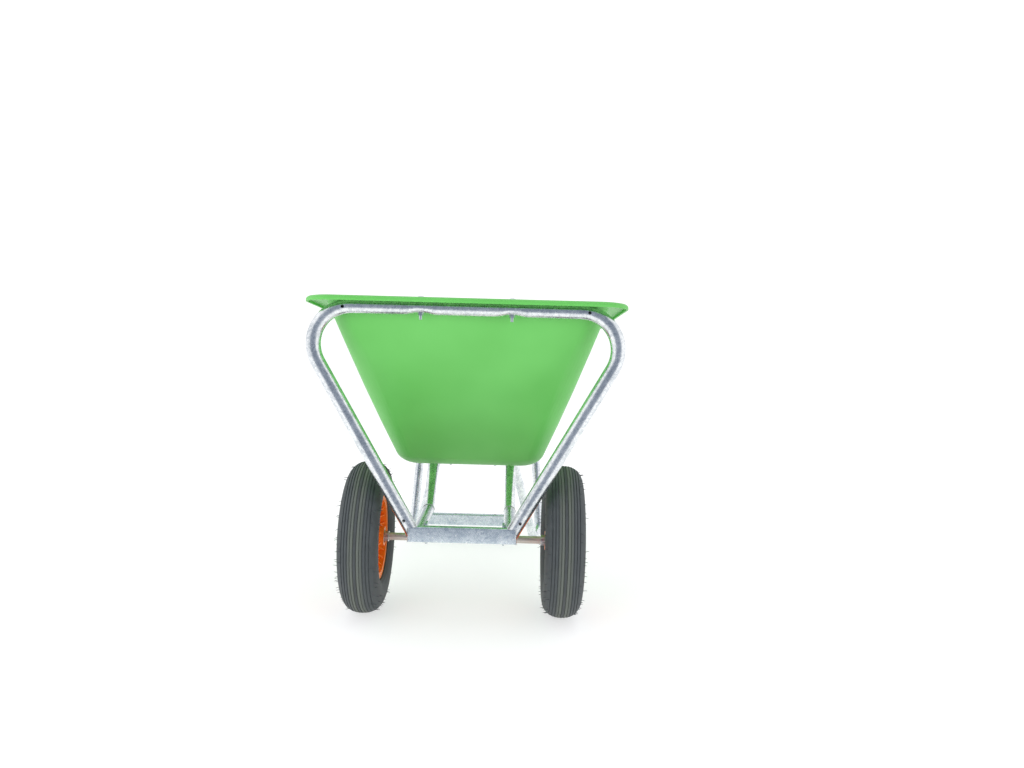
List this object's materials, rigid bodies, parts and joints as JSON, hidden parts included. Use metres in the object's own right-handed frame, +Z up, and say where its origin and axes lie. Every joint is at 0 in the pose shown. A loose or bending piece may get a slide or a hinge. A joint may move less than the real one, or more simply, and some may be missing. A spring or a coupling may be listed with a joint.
{
  "type": "two-wheeled wheelbarrow",
  "caption": "Two-wheeled barrow: deep moulded tray on a galvanised tube frame with a front tipping hoop, V-shaped legs, rear handles and pneumatic tyres on ribbed plastic rims.",
  "frame": {"origin": "on the ground, at the centre of the bottom of the whole barrow's box", "axes": "+Z up; -Y towards the wheels and front hoop, +Y towards the handles; +X to the left of a person standing between the handles"},
  "size_m": [0.796, 1.5, 0.8405],
  "materials": {
    "tray_green": "moulded polyethylene, satin",
    "galvanised_steel": "hot-dip galvanised, spangled",
    "axle_steel": "plain drawn bar, dull",
    "zinc_plated": "bright zinc plate",
    "grip_rubber": "moulded, matte",
    "tyre_rubber": "moulded, matte",
    "tube_rubber": "smooth",
    "rim_orange": "injection moulded, semi-gloss",
    "bearing_black": "roller cage",
    "valve_black": "moulded"
  },
  "bodies": {
    "frame": {"tray": "tray_green", "front_hoop": "galvanised_steel", "front_crossbar": "galvanised_steel", "axle_beam_left": "galvanised_steel", "axle_beam_right": "galvanised_steel", "rail_left": "galvanised_steel", "rail_right": "galvanised_steel", "tray_crossbar_front": "galvanised_steel", "tray_crossbar_rear": "galvanised_steel", "handle_crossbar": "galvanised_steel", "leg_left": "galvanised_steel", "leg_right": "galvanised_steel", "leg_crossbar": "galvanised_steel", "grip_left": "grip_rubber", "grip_right": "grip_rubber", "axle": "axle_steel", "axle_lug_left": "galvanised_steel", "axle_lug_right": "galvanised_steel", "axle_collars": "galvanised_steel", "axle_washers": "galvanised_steel", "split_pins": "zinc_plated", "hoop_bolts": "zinc_plated", "hoop_bolt_nuts": "zinc_plated", "floor_bolts": "zinc_plated", "floor_bolt_nuts": "zinc_plated"},
    "wheel_left": {"tyre_left": "tyre_rubber", "inner_tube_left": "tube_rubber", "rim_inner_half_left": "rim_orange", "rim_outer_half_left": "rim_orange", "rim_bolts_left": "zinc_plated", "rim_nuts_left": "zinc_plated", "bearing_inner_left": "bearing_black", "bearing_outer_left": "bearing_black", "valve_stem_left": "valve_black", "valve_cap_left": "valve_black"},
    "wheel_right": {"tyre_right": "tyre_rubber", "inner_tube_right": "tube_rubber", "rim_inner_half_right": "rim_orange", "rim_outer_half_right": "rim_orange", "rim_bolts_right": "zinc_plated", "rim_nuts_right": "zinc_plated", "bearing_inner_right": "bearing_black", "bearing_outer_right": "bearing_black", "valve_stem_right": "valve_black", "valve_cap_right": "valve_black"}
  },
  "joints": [
    {"name": "left_wheel_spin", "type": "hinge", "parent": "frame", "child": "wheel_left", "pos_m": [0.26, -0.55, 0.2], "axis": [1, 0, 0], "continuous": true},
    {"name": "right_wheel_spin", "type": "hinge", "parent": "frame", "child": "wheel_right", "pos_m": [-0.26, -0.55, 0.2], "axis": [1, 0, 0], "continuous": true}
  ]
}
